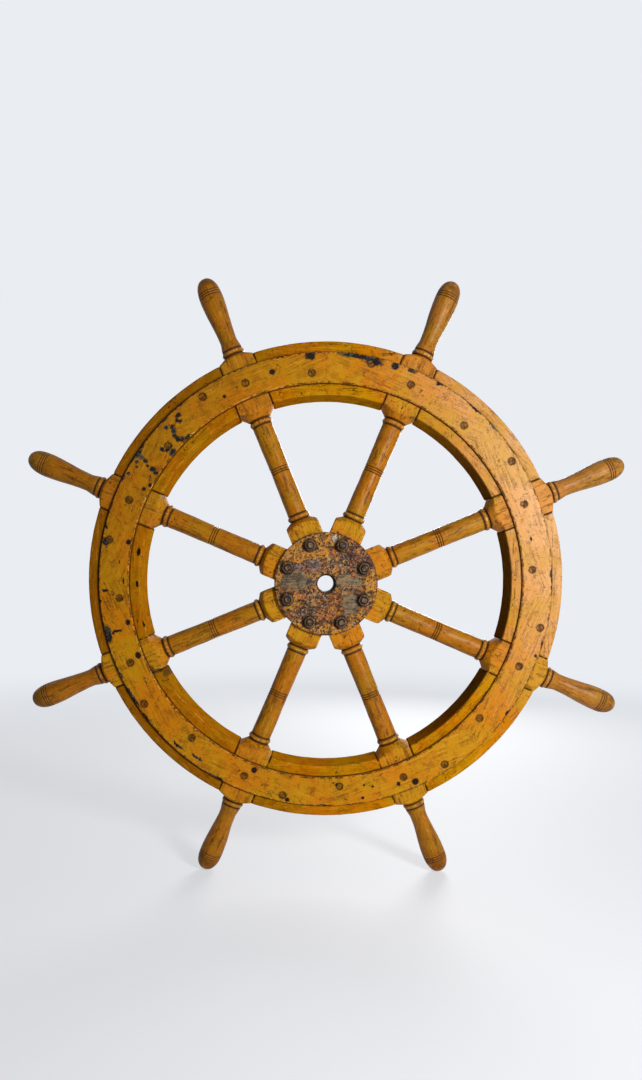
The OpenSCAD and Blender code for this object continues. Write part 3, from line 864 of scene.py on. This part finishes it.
# %% Where the rim has lost its paint
EDGE_CHIPS = [
    (1.5, 424, 26, 2.5), (344.6, 424, 8, 3.5), (341.5, 418, 2, 5), (36, 424, 11, 2), (44, 424, 11, 2.5),
    (50.5, 424, 20, 2), (61, 423, 9, 3), (68.8, 421, 8, 4), (73, 419, 8, 7), (78.5, 416, 17, 7),
    (82, 421, 40, 4), (94.6, 419, 10, 7), (102, 424, 12, 2), (166.2, 423, 4, 3), (169.6, 418, 7, 7),
    (182.2, 413, 2.5, 8), (184.8, 424, 5, 2), (193.6, 420, 16, 7), (193.4, 403, 3.5, 10), (203, 424, 20, 2),
    (211, 423, 26, 3), (217, 423, 11, 2.5), (228, 416, 13, 3), (234, 411, 12, 3), (241, 423, 18, 2),
    (259.5, 411, 4, 3), (270, 424, 14, 2), (325.5, 423, 6, 3),
]
FACE_CHIPS = [
    (151.3, 419, 3.5, 4), (148.9, 412, 3.5, 3), (147.7, 416.5, 4.5, 4.5), (145.8, 422, 11, 4.5),
    (146.2, 415, 5, 6), (146.4, 404, 4.5, 6), (147.1, 396, 3.5, 4.5), (147.1, 384, 6.5, 8),
    (147.5, 376, 5.5, 6), (141.2, 392, 5, 7), (140.3, 384, 7, 4.5), (139, 383.5, 5, 3.5),
    (139.9, 374, 9, 6), (136.3, 412, 5, 5), (135, 405.5, 7, 5), (135.5, 398, 5.5, 7),
    (136.3, 390.5, 5, 5.5), (136.3, 383, 6.5, 7), (135.5, 377, 7, 5), (134, 372.5, 9, 4.5),
    (131.9, 413, 7, 5), (133, 408, 5, 5), (132.5, 403, 5, 4), (135.2, 423.5, 6, 2.5),
    (129.7, 423.5, 4, 2.5), (143.7, 424, 6, 3), (153, 424, 7, 2.5),
]
NAIL_HOLES = [
    (201.3, 378.5, 7, 5.5), (191.5, 378.5, 6, 4.5), (168.6, 376, 5, 4.5), (153.1, 381, 4, 4),
    (151.3, 374, 4, 3.5), (119.1, 392, 3.5, 3.5), (104.9, 401, 6, 5), (72.8, 417, 4.5, 4.5),
    (295, 414, 7, 6.5), (290.6, 406, 4, 4), (280.4, 415, 3, 3), (283.6, 397, 2.5, 2.5),
    (281.3, 391, 2.5, 2.5), (274, 385, 5, 5.5), (260.4, 419, 4.5, 4), (249.5, 380, 6, 6),
    (13, 392, 4, 1.5), (179.7, 379, 7, 1.2), (174.5, 388, 4, 1),
]
REAR_TURN = 173
REAR_CHIPS = [(angle + REAR_TURN, *rest) for angle, *rest in EDGE_CHIPS]
SCREW_PLACES = [(0, RIM_MIDDLE), (11.5, FACING_OUTER - 13), (-18, FACING_INNER + 18)]
SCREW_HEAD_R = 5.5
print(len(EDGE_CHIPS) + len(FACE_CHIPS), "chips and", len(NAIL_HOLES), "nail holes")


# %% The facings' paint
def facing_paint(face, number, chips, holes, small_chips=()):
    centre = spoke_angle(number)
    finish = Finish(f"{face}_facing_paint_{number}", centre, number + 2 * SPOKES)
    radius = finish.radius
    chipped = 0.0
    if here_chips := near_angle(centre, chips):
        chipped = marks(finish, here_chips, 9, 7, soft=0.3)
    if here_small := near_angle(centre, small_chips):
        chipped = marks(finish, here_small, 5, 4, soft=0.4, size_share=0.84).most(chipped)
    heads = [(math.radians(turn) * RIM_MIDDLE, r, 1, 1) for turn, r in SCREW_PLACES]
    screws = nearest_spot(finish, along_rim(finish), heads)
    # Painted shade in the recess round each screw head, broken up by noise.
    rings = screws.near(SCREW_HEAD_R + 0.4, 3.6) * finish.cloud(5, shift=19.0).ramp(0.32, 0.44)
    stain = screws.ramp(SCREW_HEAD_R + 5, SCREW_HEAD_R) * finish.cloud(6, shift=15.0).ramp(0.45, 0.6)
    height = abs(finish.w)
    wall = radius.ramp(FACING_INNER + 2.5, FACING_INNER + 1)
    wall = wall.most(radius.ramp(FACING_OUTER - 2.5, FACING_OUTER - 1))
    # Grime and painted shade at the foot of the facing's walls, where they meet the ledge.
    foot = height.ramp(HALF_CORE + 3, HALF_CORE + 1) * wall
    # The facing's edges: dark knocks, and pale wear that is partly a painted highlight.
    edge = radius.near(FACING_INNER + 1, 3).most(radius.near(FACING_OUTER - 1, 3))
    edge = edge * on_face(height, FACE_Y)
    outermost = radius.ramp(FACING_OUTER - 3.4, FACING_OUTER - 1.2) * 0.75
    knocked = edge.most(outermost) * finish.cloud(8, detail=4.0, roughness=0.7, shift=14.0).ramp(0.49, 0.56)
    grime_and_shade = (foot * 0.9).most(knocked * 0.85).most(rings * 0.92).most(stain * 0.4)
    if here_holes := near_angle(centre, holes):
        stain_and_shadow_halo = marks(finish, here_holes, 7, 5, soft=0.6) * 0.45
        grime_and_shade = grime_and_shade.most(marks(finish, here_holes, 5, 2)).most(stain_and_shadow_halo)
    return painted_wood(finish, (1, 18, 1), grime_and_shade, chipped, edge * 0.6)


for number in NUMBERS:
    dress(f"front_facing_{number}", facing_paint("front", number, EDGE_CHIPS, NAIL_HOLES, FACE_CHIPS))
    dress(f"rear_facing_{number}", facing_paint("rear", number, REAR_CHIPS, []))
print("painted", 2 * SPOKES, "facings")

# %% [markdown]
# ## The facing screws
#
# The screws were painted over with everything else, and then dirt and rust came through the paint. So
# their heads are browner and duller than the wood round them, in patches smaller than a head. Bare
# metal would look new among the old paint, so they take the wood's recipe with more grime in it.

# %% Paint the screws
def screw_paint():
    finish = Finish("screw_paint", seed=50)
    grime_and_shade = finish.cloud(5, shift=9.0).ramp(0.40, 0.60) * 0.5 + 0.25
    return painted_wood(finish, (1, 1, 1), grime_and_shade, dark_tone_and_shade=0.5, matt=0.5)


shared_screw_paint = screw_paint()
dress("front_facing_screws", shared_screw_paint)
dress("rear_facing_screws", shared_screw_paint)
print("painted the screws")

# %% [markdown]
# ## The iron hub
#
# The hub plate has been painted, scraped and left to rust. Paint is left in the upper left, along the
# edge and just above the bore. Two smooth khaki patches lie left and right of the bore where it was
# scraped bare, and between them the iron has risen in dark crust with orange rust in it. One noise
# would mix these evenly, so each layer has its own list of ovals, and the layers are laid one over
# another in the order in which they happened.

# %% The colours of the hub
DARK_RUST = srgb(52, 33, 24)
RUST_BROWN = srgb(128, 82, 44)
PALE_RUST = srgb(172, 116, 62)
OLD_PAINT = srgb(208, 146, 42)
SCORCHED_PAINT = srgb(112, 66, 26)
ORANGE_RUST = srgb(196, 106, 36)
KHAKI = srgb(126, 112, 84)
DARK_KHAKI = srgb(86, 74, 56)
PURPLE_GREY = srgb(112, 98, 100)
PURPLE_BROWN = srgb(82, 54, 52)
DARK_CRUST = srgb(66, 50, 44)
PALE_CRUST = srgb(176, 150, 118)
BONE_WHITE = srgb(206, 200, 186)

# %% Where each layer lies on the front plate, as x, z, half width and half height
PAINT_LEFT = [
    (-52, 56, 34, 24), (-90, 0, 5, 40), (-23, 17, 14, 5), (14, 24, 9, 8), (84, -4, 10, 26),
    (30, -84, 42, 9), (0, 82, 30, 10), (-28, -5, 9, 9), (-50, -80, 30, 10), (64, -62, 18, 10),
    (-58, -36, 20, 12), (-6, 58, 12, 14),
]
SCRAPED = [(-58, 6, 25, 18), (35, 6, 17, 10), (46, -38, 16, 20), (60, 4, 10, 8)]
PURPLISH = [(-28, 33, 18, 13), (66, 52, 22, 22), (-26, 4, 9, 8), (-60, 30, 22, 6)]
CRUSTED = [
    (-24, -22, 24, 13), (18, 41, 24, 12), (46, 22, 13, 9), (-26, -50, 26, 15), (-2, -34, 10, 15),
    (42, -10, 13, 9), (62, 30, 9, 12),
]
ORANGE = [(13, -31, 13, 12), (-8, -55, 8, 11), (12, -57, 9, 12), (20, 60, 9, 6), (-44, -24, 9, 6)]
WHITE = [(15.5, 85.5, 5, 6.5)]
FIRM, SOFT, SHARP = (1.2, 0.85), (1.3, 0.7), (1.1, 0.9)
BOLT_CIRCLE_R = 77.5
NUT_R, BOLT_R = 11, 6
IRON_SHINE = 0.15


# %% Distance from the nearest hub bolt
def from_bolt(finish, leftward=0.0):
    """Millimetres from the axis of the nearest bolt, found by folding the plate into one eighth."""
    pitch = math.radians(PITCH)
    # leftward moves the bolts sideways, so that the halos fall to one side as painted shadows.
    u = finish.u + leftward
    folded = (finish.v.math("ARCTAN2", u) - pitch / 2).math("PINGPONG", pitch / 2)
    radius = finish.length(u, finish.v)
    along = radius * folded.math("COSINE") - BOLT_CIRCLE_R
    across = radius * folded.math("SINE")
    return finish.length(along, across)


# %% Rusty plates
def layer(finish, here, places, ragged, limits, strength, colour, over):
    """Lays a colour over another in some ovals. limits: where its mask starts and where it is full."""
    mask = (nearest_spot(finish, here, places) + ragged).ramp(*limits)
    return mask, finish.mix(mask * strength, colour, over)


def rusty_plate(name, side, seed):
    """The iron of a hub plate. side is 1 where its outer face looks to the front, and -1 at the back."""
    finish = Finish(name, seed=seed)
    fine = finish.cloud(2.4, detail=4.0, roughness=0.75, shift=1.0)
    grit = finish.cloud(6, detail=5.0, roughness=0.72, shift=2.0)
    broad = finish.cloud(24, roughness=0.6, shift=3.0)
    small = finish.cells(2.4, finish.wandering(finish.place, 3, 2.2, 4.0), 4.0)
    large = finish.cells(5.0, finish.wandering(finish.place, 5, 4.0, 9.0), 9.0)
    tone = (fine * 0.5 + grit * 0.5).ramp(0.42, 0.58)
    ragged = (grit - 0.5) * 1.8 + (fine - 0.5) * 1.4
    place = finish.joined(finish.u * side, finish.v)
    here = finish.flat(finish.wandering(place, 14, 8, shift=5.0))

    colour = finish.mix(tone, RUST_BROWN, DARK_RUST)
    colour = finish.mix((broad * 0.6 + grit * 0.4).ramp(0.50, 0.62) * 0.8, colour, PALE_RUST)
    over = finish.mix(tone, OLD_PAINT, SCORCHED_PAINT)
    painted, colour = layer(finish, here, PAINT_LEFT, ragged, FIRM, 1.0, colour, over)
    over = finish.mix(finish.u.ramp(0, 20), PURPLE_GREY, PURPLE_BROWN)
    _, colour = layer(finish, here, PURPLISH, ragged, FIRM, 0.8, colour, over)
    scratches = finish.cloud(3, (9, 1, 1), roughness=0.7, shift=6.0, local=True)
    over = finish.mix(scratches.ramp(0.4, 0.62), KHAKI, DARK_KHAKI)
    scraped, colour = layer(finish, here, SCRAPED, ragged * 0.5, FIRM, 1.0, colour, over)
    flecks = fine * 0.7 + grit * 0.3
    over = finish.mix(flecks.ramp(0.50, 0.40), DARK_CRUST, PALE_CRUST)
    _, colour = layer(finish, here, CRUSTED, ragged, SOFT, 0.8, colour, over)
    over = finish.mix(tone, ORANGE_RUST, RUST_BROWN)
    _, colour = layer(finish, here, ORANGE, ragged * 1.3, SOFT, 0.75, colour, over)
    drift = finish.cloud(13, detail=5.0, roughness=0.66, shift=12.0)
    colour = finish.mix(drift.ramp(0.53, 0.59) * 0.65, colour, DARK_RUST)
    colour = finish.mix(drift.ramp(0.46, 0.41) * 0.45, colour, PALE_RUST)
    rough = 1 - scraped * 0.75
    spots = [
        (large.ramp(0.76, 0.84), 0.6, DARK_RUST),
        (large.ramp(0.16, 0.08), 0.5, ORANGE_RUST),
        (large.ramp(0.50, 0.54) * large.ramp(0.62, 0.58), 0.5, OLD_PAINT),
        (small.ramp(0.88, 0.94), 0.55, PALE_CRUST),
        (small.ramp(0.62, 0.67) * small.ramp(0.72, 0.67), 0.3, PURPLE_GREY),
    ]
    for spot, strength, over in spots:
        colour = finish.mix(spot * rough * strength, colour, over)
    over = finish.mix(tone, BONE_WHITE, PURPLE_GREY)
    _, colour = layer(finish, place, WHITE, ragged * 0.4, SHARP, 1.0, colour, over)
    # Painted shadow round each nut, moved a little to one side as a cast shadow falls.
    stain_and_shadow_halo = from_bolt(finish, side * 1.8).ramp(NUT_R + 4.5, NUT_R + 1.5)
    stain_and_shadow_halo = stain_and_shadow_halo * (broad * 0.5 + fine * 0.5).ramp(0.38, 0.46)
    # Painted shadow along the plate's edge, where it stands off the hub blocks.
    rim = finish.radius.ramp(PLATE_R - 3.5, PLATE_R - 1) * fine.ramp(0.44, 0.54)
    pits = small.ramp(0.15, 0.10).most((fine * 0.5 + grit * 0.5).ramp(0.42, 0.36)) * rough
    colour = finish.mix(pits.most(stain_and_shadow_halo * 0.85).most(rim * 0.8) * 0.92, colour, BLACK_AND_SHADOW)

    roughness = fine * 0.3 - scraped * 0.2 + 0.5
    height = grit * 0.4 + fine * 0.3 + small * 0.15 + painted * 0.1 - pits * 0.45 - scraped * (fine * 0.3)
    return finish.finished(colour, roughness, height, 2.0, IRON_SHINE)


# %% Nuts and bolts
def rusty_fitting(name, seed):
    """Dark iron, rubbed brighter on the bolt's end and the nut's face, with a painted highlight on it."""
    finish = Finish(name, seed=seed)
    fine = finish.cloud(1.8, detail=4.0, roughness=0.7)
    grit = finish.cloud(5, detail=4.0, roughness=0.6, shift=2.0)
    colour = finish.mix(grit.ramp(0.34, 0.48), RUST_BROWN, DARK_RUST)
    reach = abs(finish.w)
    from_axis = from_bolt(finish)
    # The nut's face: rubbed, with a painted highlight on its chamfer.
    nut_face_wear_and_highlight = from_axis.near(8.8, 1.8) * reach.ramp(PLATE_Y + 7, PLATE_Y + 9.5) * fine.ramp(0.60, 0.42)
    bolt_end = from_axis.ramp(5.2, 3.6) * reach.ramp(PLATE_Y + 11, PLATE_Y + 13) * grit.ramp(0.60, 0.44)
    colour = finish.mix(nut_face_wear_and_highlight * 0.5, colour, PALE_CRUST)
    colour = finish.mix(bolt_end * 0.5, colour, KHAKI)
    # Painted shade in the gap round the bolt.
    thread_gap_shade = from_axis.near(BOLT_R, 2.6) * reach.ramp(PLATE_Y + 13.6, PLATE_Y + 10)
    # Painted shade low on the nut, next to the plate.
    low = reach.ramp(PLATE_Y + 6, PLATE_Y + 1) * 0.8
    colour = finish.mix(thread_gap_shade.most(low).most(fine.ramp(0.40, 0.34)) * 0.92, colour, BLACK_AND_SHADOW)
    return finish.finished(colour, fine * 0.3 + 0.4, fine * 0.5 + grit * 0.5, 0.8, IRON_SHINE)


# %% The bush, black inside with old grease
def greasy_iron():
    finish = Finish("bush_iron", seed=64)
    fine = finish.cloud(2.5, detail=4.0, roughness=0.7)
    inside = finish.radius.ramp(BORE_R + 1.5, BORE_R + 0.5)
    colour = finish.mix(fine.ramp(0.42, 0.58), RUST_BROWN, DARK_RUST)
    colour = finish.mix(inside, colour, finish.mix(fine.ramp(0.45, 0.6), BLACK_AND_SHADOW, DARK_RUST))
    return finish.finished(colour, fine * 0.2 + 0.6, fine, 0.6, IRON_SHINE)


# %% Put the iron on the hub
PLATE_WEAR = {"grid": 1.3, "softened": 2, "pit_depth": 1.6, "pit_width": 9}
NUT_WEAR = {"grid": 0.7, "softened": 2, "pit_depth": 0.3, "pit_width": 5}
BOLT_WEAR = {"grid": 0.8, "softened": 1, "pit_depth": 0.3, "pit_width": 5}

worn_copy("hub_front_plate", "hub_iron", rusty_plate("hub_front_iron", 1, 60), **PLATE_WEAR)
worn_copy("hub_rear_plate", "hub_iron", rusty_plate("hub_rear_iron", -1, 61), **PLATE_WEAR)
worn_copy("hub_nuts", "bolt_iron", rusty_fitting("nut_iron", 62), **NUT_WEAR)
worn_copy("hub_bolts", "bolt_iron", rusty_fitting("bolt_iron", 63), **BOLT_WEAR)
dress("hub_bush", greasy_iron())
print("rusted the hub's plates, nuts and bolts")

# %% [markdown]
# ## The studio
#
# The photograph is lit by one source to the right of the camera, so the right of the rim is pale and
# shiny, the upper left is deep brown, every handle is dark on its left and thin black shadows lie
# beside the facing. A small square lamp there does that, helped by the painted sheen, painted shade and
# painted shadows in the paint, and the pale world fills the shadows. A wider lamp behind the wheel
# lights its back. The floor is a plain pale disc that fades into the background's own colour, so that
# no horizon shows.

# %% Lamps
LAMPS = {"key": ((0.93, -1.5, 0.36), 0.4, 32.5), "rear": ((0.5, 1.8, 0.5), 0.9, 30)}


def area_light(name, place, size, power):
    """A soft square lamp that looks at the hub."""
    lamp = bpy.data.lights.new(name, "AREA")
    lamp.size = size
    lamp.energy = power
    made = new_object(name, lamp)
    made.location = place
    made.rotation_euler = (-Vector(place)).to_track_quat("-Z", "Y").to_euler()


for name, (place, size, power) in LAMPS.items():
    area_light(name, place, size, power)
print("lamps:", ", ".join(LAMPS))

# %% The world
BACKGROUND = srgb(234, 237, 242)
FILL_COLOUR = (0.95, 0.97, 1.0)
FILL_STRENGTH = 0.08

world = bpy.data.worlds.new("studio")
bpy.context.scene.world = world
world.use_nodes = True
fill = world.node_tree.nodes["Background"]
fill.inputs["Color"].default_value = (*FILL_COLOUR, 1.0)
fill.inputs["Strength"].default_value = FILL_STRENGTH
seen = world.node_tree.nodes.new("ShaderNodeBackground")
seen.inputs["Color"].default_value = (*BACKGROUND, 1.0)


def seen_directly(tree):
    """A socket that is 1 for rays that show the background: straight, mirrored or through glass."""
    path = tree.nodes.new("ShaderNodeLightPath")
    socket = path.outputs["Is Camera Ray"]
    for name in ("Is Glossy Ray", "Is Transmission Ray"):
        sum_node = tree.nodes.new("ShaderNodeMath")
        sum_node.operation = "MAXIMUM"
        tree.links.new(socket, sum_node.inputs[0])
        tree.links.new(path.outputs[name], sum_node.inputs[1])
        socket = sum_node.outputs[0]
    return socket


either = world.node_tree.nodes.new("ShaderNodeMixShader")
link = world.node_tree.links.new
link(seen_directly(world.node_tree), either.inputs[0])
link(fill.outputs[0], either.inputs[1])
link(seen.outputs[0], either.inputs[2])
link(either.outputs[0], world.node_tree.nodes["World Output"].inputs["Surface"])
print("fill strength", FILL_STRENGTH)

# %% The floor
FLOOR_R, FLOOR_SIDES = 12.0, 96
FLOOR_GAP = 0.0005
FLOOR_Z = cad_box[0].z - FLOOR_GAP
FLOOR_WHITE, FLOOR_ROUGHNESS, FLOOR_GLOW = srgb(242, 242, 242), 0.6, 0.62
FADE_FROM, FADE_TO = 900, 3200

turns = [2 * math.pi * k / FLOOR_SIDES for k in range(FLOOR_SIDES)]
floor_mesh = bpy.data.meshes.new("floor")
edge = [(FLOOR_R * math.cos(turn), FLOOR_R * math.sin(turn), FLOOR_Z) for turn in turns]
floor_mesh.from_pydata(edge, [], [tuple(range(FLOOR_SIDES))])
floor = new_object("floor", floor_mesh)

finish = Finish("floor_paint")
finish.feed(finish.shader.inputs["Base Color"], FLOOR_WHITE)
finish.feed(finish.shader.inputs["Roughness"], FLOOR_ROUGHNESS)
far = finish.length(finish.u, finish.w).ramp(FADE_FROM, FADE_TO)
glow = finish.node("ShaderNodeEmission", {}, {"Color": BACKGROUND})
share = (far * (1 - FLOOR_GLOW) + FLOOR_GLOW) * Signal(finish, seen_directly(finish.tree))
plain = Signal(finish, finish.shader.outputs[0])
faded = finish.node("ShaderNodeMixShader", {}, {0: share, 1: plain, 2: glow})
finish.feed(finish.tree.nodes["Material Output"].inputs["Surface"], faded)
floor_mesh.materials.append(finish.material)
print("the floor reaches", FLOOR_R, "m")
